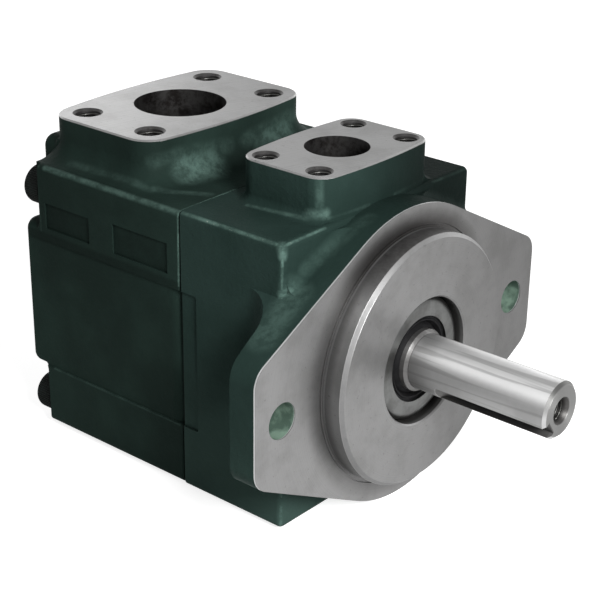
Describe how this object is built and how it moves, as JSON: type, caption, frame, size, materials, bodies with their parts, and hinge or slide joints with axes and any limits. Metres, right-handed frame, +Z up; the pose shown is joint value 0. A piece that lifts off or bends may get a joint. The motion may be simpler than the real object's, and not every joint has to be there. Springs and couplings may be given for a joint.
{
  "type": "hydraulic vane pump",
  "caption": "Flange-mounted balanced vane pump with a keyed shaft, flanged suction and pressure ports on top, and a full vane cartridge inside.",
  "frame": {"origin": "centre of the mounting flange's face, on the shaft axis", "axes": "+X along the shaft, out of the flange towards the shaft end; +Z up through the ports; +Y to complete a right-handed frame"},
  "size_m": [0.2258, 0.1746, 0.1366],
  "materials": {
    "green_casting": "dark green paint over a cast skin, machined faces bare",
    "polished_shaft": "ground and polished",
    "black_screws": "black oxide",
    "hard_steel": "hardened and ground",
    "bronze": "turned bronze",
    "bearing_steel": "ground",
    "ball_steel": "mirror polished",
    "spring_steel": "dark phosphated",
    "seal_case_steel": "pressed sheet",
    "black_rubber": "satin"
  },
  "bodies": {
    "casing": {"front_housing": "green_casting", "rear_housing": "green_casting", "housing_screws": "black_screws", "body_o_ring": "black_rubber", "cam_ring": "hard_steel", "front_plate": "bronze", "rear_plate": "bronze", "rear_bushing": "bronze", "cartridge_screws": "black_screws", "dowel_pins": "hard_steel", "front_plate_o_ring": "black_rubber", "front_nose_o_ring": "black_rubber", "rear_nose_o_ring": "black_rubber", "bearing_outer_ring": "bearing_steel", "housing_retaining_ring": "spring_steel", "seal_case": "seal_case_steel", "seal_lip": "black_rubber", "seal_spring": "spring_steel"},
    "rotating_group": {"shaft": "polished_shaft", "rotor": "hard_steel", "bearing_inner_ring": "bearing_steel", "shaft_retaining_ring": "spring_steel"},
    "ball_set": {"bearing_balls": "ball_steel", "bearing_cage": "bronze"},
    "vane_1_blade": {"vane_1": "hard_steel"},
    "vane_2_blade": {"vane_2": "hard_steel"},
    "vane_3_blade": {"vane_3": "hard_steel"},
    "vane_4_blade": {"vane_4": "hard_steel"},
    "vane_5_blade": {"vane_5": "hard_steel"},
    "vane_6_blade": {"vane_6": "hard_steel"},
    "vane_7_blade": {"vane_7": "hard_steel"},
    "vane_8_blade": {"vane_8": "hard_steel"},
    "vane_9_blade": {"vane_9": "hard_steel"},
    "vane_10_blade": {"vane_10": "hard_steel"}
  },
  "joints": [
    {"name": "shaft_spin", "type": "hinge", "parent": "casing", "child": "rotating_group", "pos_m": [0, 0, 0], "axis": [1, 0, 0], "continuous": true},
    {"name": "ball_set_spin", "type": "hinge", "parent": "casing", "child": "ball_set", "pos_m": [0, 0, 0], "axis": [1, 0, 0], "continuous": true},
    {"name": "vane_1_slide", "type": "slide", "parent": "rotating_group", "child": "vane_1_blade", "axis": [0, 0.9511, 0.309], "range_m": [0, 0.00055]},
    {"name": "vane_2_slide", "type": "slide", "parent": "rotating_group", "child": "vane_2_blade", "axis": [0, 0.5878, 0.809], "range_m": [0, 0.00393]},
    {"name": "vane_3_slide", "type": "slide", "parent": "rotating_group", "child": "vane_3_blade", "axis": [0, 0, 1], "range_m": [0, 0.00455]},
    {"name": "vane_4_slide", "type": "slide", "parent": "rotating_group", "child": "vane_4_blade", "axis": [0, -0.5878, 0.809], "range_m": [0, 0.00393]},
    {"name": "vane_5_slide", "type": "slide", "parent": "rotating_group", "child": "vane_5_blade", "axis": [0, -0.9511, 0.309], "range_m": [0, 0.00055]},
    {"name": "vane_6_slide", "type": "slide", "parent": "rotating_group", "child": "vane_6_blade", "axis": [0, -0.9511, -0.309], "range_m": [0, 0.00055]},
    {"name": "vane_7_slide", "type": "slide", "parent": "rotating_group", "child": "vane_7_blade", "axis": [0, -0.5878, -0.809], "range_m": [0, 0.00393]},
    {"name": "vane_8_slide", "type": "slide", "parent": "rotating_group", "child": "vane_8_blade", "axis": [0, 0, -1], "range_m": [0, 0.00455]},
    {"name": "vane_9_slide", "type": "slide", "parent": "rotating_group", "child": "vane_9_blade", "axis": [0, 0.5878, -0.809], "range_m": [0, 0.00393]},
    {"name": "vane_10_slide", "type": "slide", "parent": "rotating_group", "child": "vane_10_blade", "axis": [0, 0.9511, -0.309], "range_m": [0, 0.00055]}
  ],
  "couplings": [
    {"joint": "ball_set_spin", "follows": "shaft_spin", "ratio": 0.3969}
  ]
}
